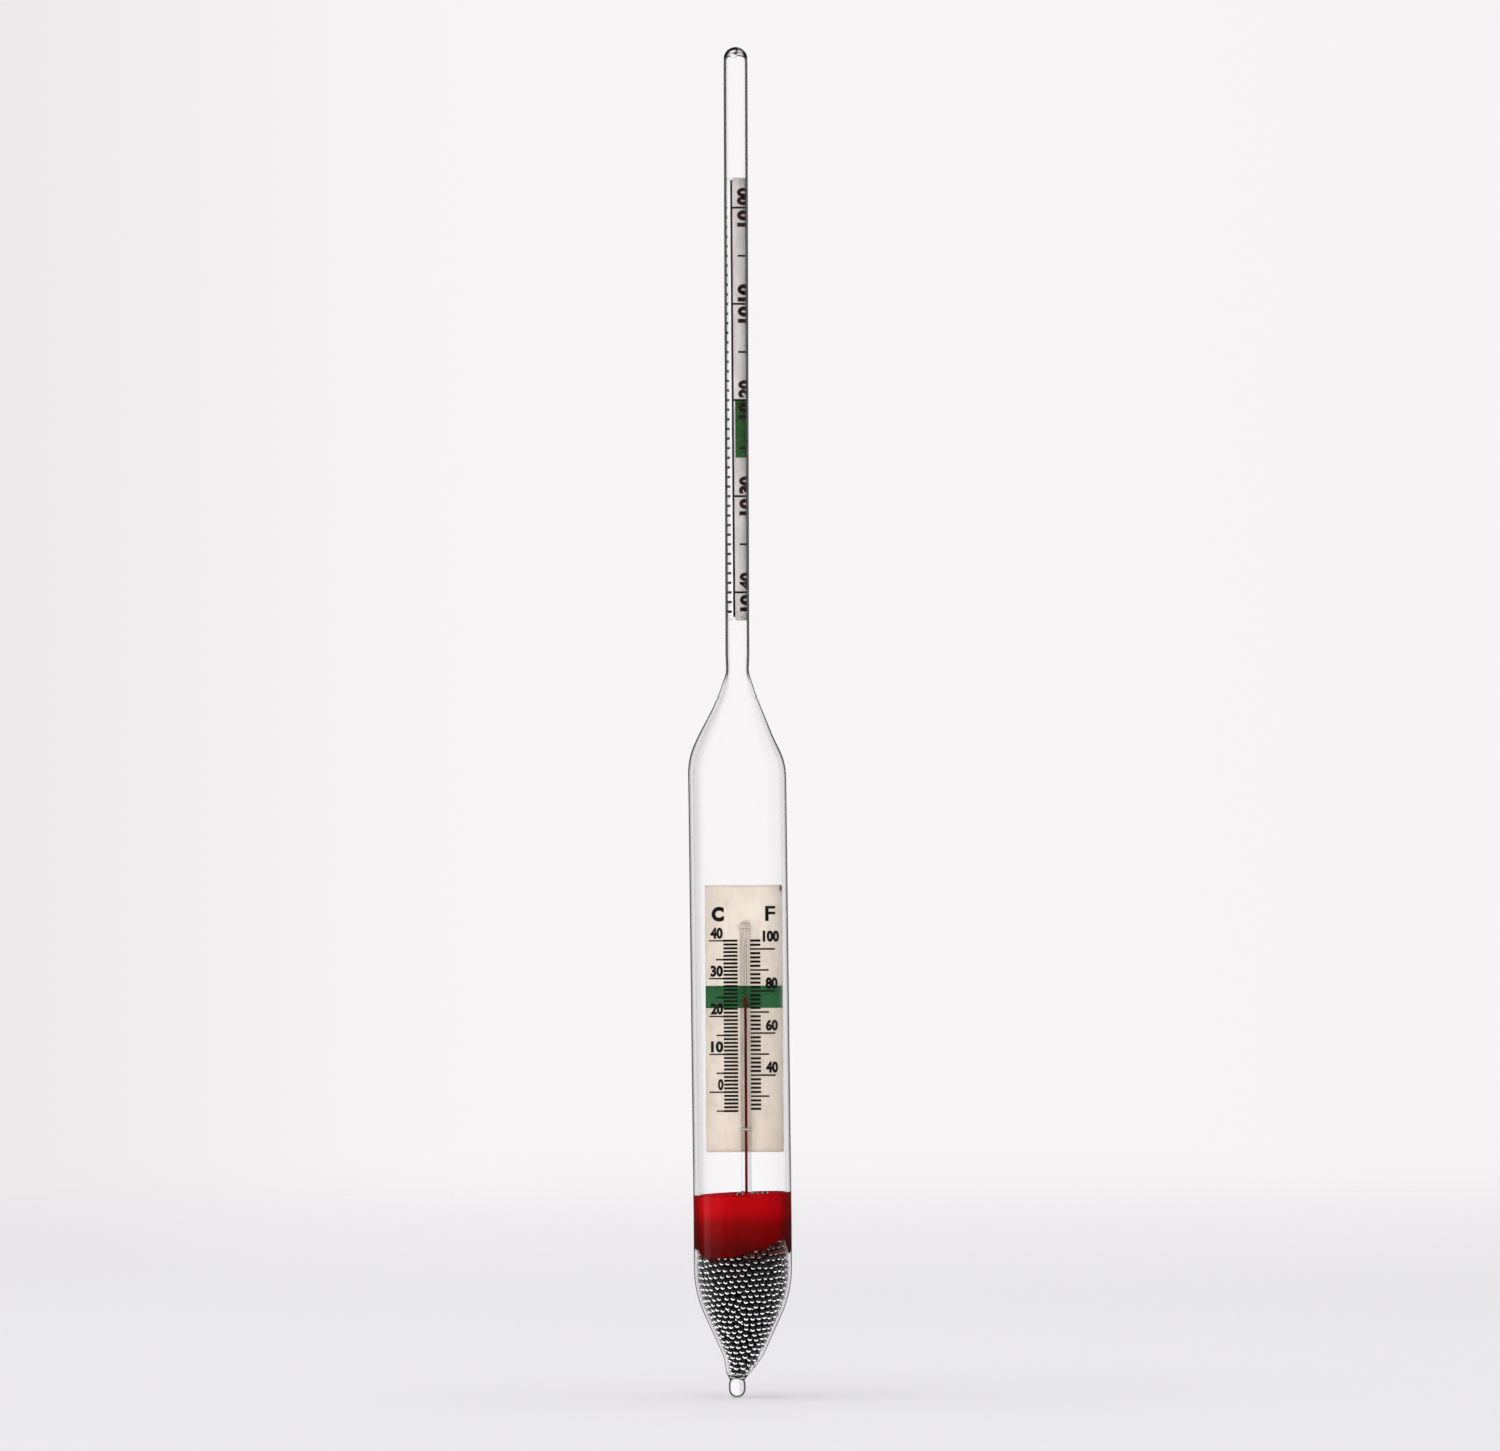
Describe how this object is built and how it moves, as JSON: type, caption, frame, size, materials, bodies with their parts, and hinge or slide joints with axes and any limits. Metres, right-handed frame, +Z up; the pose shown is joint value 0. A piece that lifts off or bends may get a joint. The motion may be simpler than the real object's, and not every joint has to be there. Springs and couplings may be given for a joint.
{
  "type": "glass hydrometer with thermometer",
  "caption": "Sealed glass float with a rolled gravity scale in its stem, a spirit thermometer on a card, and wax over steel shot as ballast.",
  "frame": {"origin": "the tip of the tail, on the instrument's axis", "axes": "+Z up the stem; the scales are read from -Y, with +X to the reader's right"},
  "size_m": [0.0202, 0.0196, 0.27],
  "materials": {
    "glass": "gloss",
    "scale_paper": "satin",
    "card": "satin",
    "wax": "satin",
    "shot": "polished",
    "spirit": "gloss",
    "glue": "gloss",
    "dark_glue": "satin"
  },
  "bodies": {
    "instrument": {"body_glass": "glass", "stem_tube": "glass", "stem_scale": "scale_paper", "thermometer_card": "card", "wax_plug": "wax", "shot_bed": "shot", "capillary_tube": "glass", "thermometer_bulb": "glass", "bulb_spirit": "spirit", "lower_glue_bead": "glue", "upper_glue_bead": "glue", "stray_shot_1": "shot", "stray_shot_2": "shot", "stray_shot_3": "shot", "card_glue_dab": "dark_glue"},
    "spirit_thread": {"spirit_column": "spirit"}
  },
  "joints": [
    {"name": "spirit_rise", "type": "slide", "parent": "instrument", "child": "spirit_thread", "axis": [0, 0, 1], "range_m": [-0.0227, 0.01136], "stiffness_N_per_m": 0.5, "deforming": ["spirit_column"]}
  ]
}
